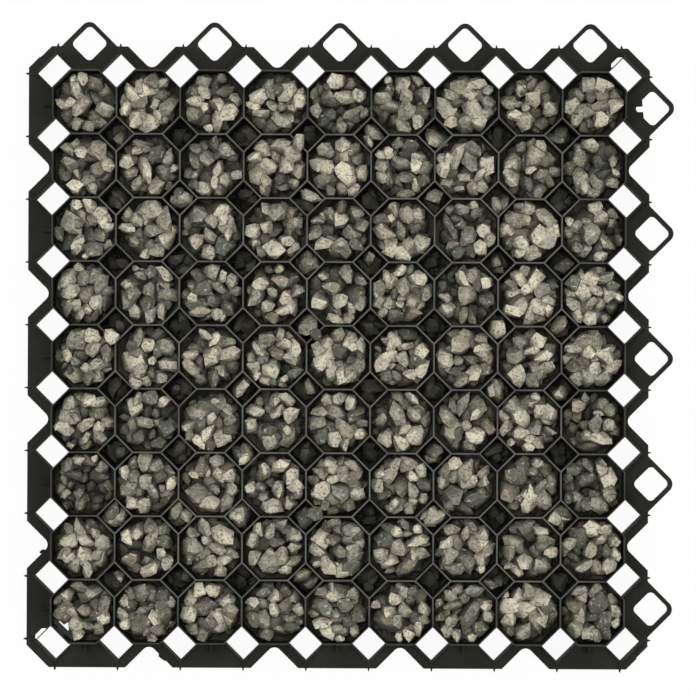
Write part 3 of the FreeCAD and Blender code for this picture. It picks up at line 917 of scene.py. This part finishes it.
@dataclass
class StrayStones:
    """The few stones that came to lie over the wall tops, at places counted in pitches from the middle."""

    ground: float
    pitch: float = 0.050
    places: tuple[tuple[float, float], ...] = (
        (-3.56, 0.31), (-3.17, -0.41), (-0.37, -2.46), (-0.37, 0.37), (-0.63, 3.37),
    )
    size: float = 0.0108
    scales: tuple[float, float] = (0.8, 1.05)
    thickest: float = 0.0082

    def build(self, stock: tuple[np.ndarray, np.ndarray], material: Any, rng: np.random.Generator) -> Any:
        """Lays each stone flat on the walls, no thicker than those of the solids that it stands for.

        Args:
            stock: corners and facets of the kinds of stone.
            material: the stones' material.
            rng: the source of chance.

        Returns:
            The piece.
        """
        bodies, facets = stock
        count = len(self.places)
        kind = rng.integers(0, len(bodies), count)
        turn = turned(rng.uniform(0.0, 2.0 * math.pi, count), "z")
        scale = self.size / 2.0 * rng.uniform(*self.scales, count)
        body = np.einsum("sxy,scy->scx", turn, bodies[kind] * scale[:, None, None])
        thickness = body[..., 2].max(-1, keepdims=True) - body[..., 2].min(-1, keepdims=True)
        body[..., 2] *= np.minimum(self.thickest / thickness, 1.0)
        body[..., 2] += self.ground - body[..., 2].min(-1, keepdims=True)
        body[..., :2] += np.array(self.places)[:, None, :] * self.pitch
        numbers = numbered(facets[kind], body.shape[1])
        piece = stone_piece("stray_stones_on_walls", body, numbers, material, rng)
        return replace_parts(piece, "stray_stones")


@dataclass
class MouldFlash:
    """Ragged bits of flash that stand out from the edges of two notches."""

    height: float = 0.0070
    places: tuple[tuple[float, float], ...] = ((-0.2344, -0.1560), (-0.1396, -0.2376), (-0.1374, -0.2402))
    widths: tuple[float, ...] = (0.0040, 0.0050, 0.0054)
    flatness: float = 0.45

    def build(self, stock: tuple[np.ndarray, np.ndarray], material: Any) -> Any:
        """Makes the bits of flash from flattened broken lumps.

        Args:
            stock: corners and facets of the kinds of lump.
            material: the moulding's material.

        Returns:
            The piece, which shows beside the moulding's own mesh.
        """
        bodies, facets = stock
        kind = np.arange(len(self.places))
        body = bodies[kind] * (np.array(self.widths) / 2.0)[:, None, None]
        body[..., 2] *= self.flatness
        body[..., :2] += np.array(self.places)[:, None, :]
        body[..., 2] += self.height
        numbers = numbered(facets[kind], body.shape[1])
        mesh = mesh_from_arrays("mould_flash", body.reshape(-1, 3), numbers)
        piece = laid_out("mould_flash", mesh, material)
        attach(piece, BODY)
        return piece


@dataclass(frozen=True)
class Lamp:
    """A square lamp that points at the middle of the module. Its width is in metres, its power in watts."""

    name: str
    place: tuple[float, float, float]
    width: float
    power: float

    def hang(self) -> None:
        """Hangs the lamp, leaning by its angle from straight above and turned toward the middle."""
        data = bpy.data.lights.new(self.name, "AREA")
        data.size = self.width
        data.energy = self.power
        lamp = bpy.data.objects.new(self.name, data)
        bpy.context.scene.collection.objects.link(lamp)
        across, along, up = self.place
        lamp.location = self.place
        lean = math.atan2(math.hypot(across, along), up)
        lamp.rotation_euler = (lean, 0.0, math.atan2(across, -along))


@dataclass
class Studio:
    """The pale floor, the soft light and the camera straight above."""

    camera_height: float = 1.93
    view_angle: float = math.radians(16.42)
    camera_across: float = 0.0075
    camera_along: float = 0.0076
    camera_turn: float = math.radians(0.25)
    near_limit: float = 0.05
    sky: float = 0.72
    floor_half: float = 4.0
    floor_drop: float = 0.0002
    key: Lamp = Lamp("key", (-0.5, 0.55, 2.5), 1.2, 25.0)
    fill: Lamp = Lamp("fill", (1.2, -0.6, 1.9), 1.4, 12.0)

    def lay_floor(self) -> None:
        """Lays the floor, which isn't part of the object."""
        signs = np.array([(-1.0, -1.0), (1.0, -1.0), (1.0, 1.0), (-1.0, 1.0)])
        level = np.full((len(signs), 1), -self.floor_drop)
        corners = np.concatenate([signs * self.floor_half, level], axis=-1)
        mesh = mesh_from_arrays("floor", corners, np.array([(0, 1, 2), (0, 2, 3)]))
        floor = laid_out("floor", mesh, PaleFloor().make())

    def light_sky(self) -> None:
        """A pale light from all round, strongest from straight above, which the eye sees as white."""
        world = bpy.data.worlds.new("pale_room")
        bpy.context.scene.world = world
        sheet = NodeSheet(world)
        seen = sheet.signal(sheet.add("ShaderNodeLightPath", {}, {}).outputs["Is Camera Ray"])
        toward = sheet.add("ShaderNodeTexCoord", {}, {}).outputs["Generated"]
        up = sheet.signal(sheet.add("ShaderNodeSeparateXYZ", {}, {0: toward}).outputs["Z"])
        light = (up.step(0.05, 0.95) * 0.95 + 0.22) * self.sky
        strength = seen * (1.0 - light) + light
        glow = sheet.add("ShaderNodeBackground", {}, {"Color": WHITE, "Strength": strength})
        sheet.finish_surface(glow.outputs[0], "ShaderNodeOutputWorld")

    def set_camera(self) -> None:
        """Puts the camera where it sees the module as in the photograph."""
        data = bpy.data.cameras.new("camera")
        data.angle = self.view_angle
        data.clip_start = self.near_limit
        camera = bpy.data.objects.new("camera", data)
        camera.location = (self.camera_across, self.camera_along, self.camera_height)
        camera.rotation_euler = (0.0, 0.0, self.camera_turn)
        bpy.context.scene.collection.objects.link(camera)
        bpy.context.scene.camera = camera

    def build(self) -> None:
        """Builds the floor, the light and the camera."""
        self.lay_floor()
        self.light_sky()
        self.key.hang()
        self.fill.hang()
        self.set_camera()
        bpy.context.scene.view_settings.view_transform = "Standard"


def main() -> None:
    """Builds the looks of the module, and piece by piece."""
    logging.basicConfig(level=logging.INFO, format="%(message)s")
    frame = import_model()
    rng = np.random.default_rng(SEED)
    lattice = Lattice(height=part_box("paver_grid")[1].z)

    grid = frame["nodes"]["paver_grid"]
    grid.data.shade_flat()
    grid.data.materials.clear()
    plastic = RecycledPlastic(top=lattice.height).make()
    grid.data.materials.append(plastic)
    LOG.info("paver_grid: %d triangles", len(grid.data.polygons))

    stock = StoneStock(rng).make()
    material = CrushedStone(top=lattice.height).make()
    cells = HeapPlan(Heap.CELL, stones=37, fewest=32, size=0.0112, spread=0.24, bed=0.019, crest=0.0372)
    pockets = HeapPlan(Heap.POCKET, stones=7, fewest=2, size=0.0116, spread=0.2, bed=0.012, crest=0.0340)
    pieces = Heaps(lattice, cells, rng).build(stock, material, "cell_gravel")
    pieces += Heaps(lattice, pockets, rng).build(stock, material, "pocket_gravel")
    pieces.append(StrayStones(lattice.height).build(stock, material, rng))
    pieces.append(MouldFlash().build(stock, plastic))
    for piece in pieces:
        LOG.info("%s: %d triangles", piece.name, len(piece.data.polygons))

    Studio().build()


if __name__ == "__main__":
    main()
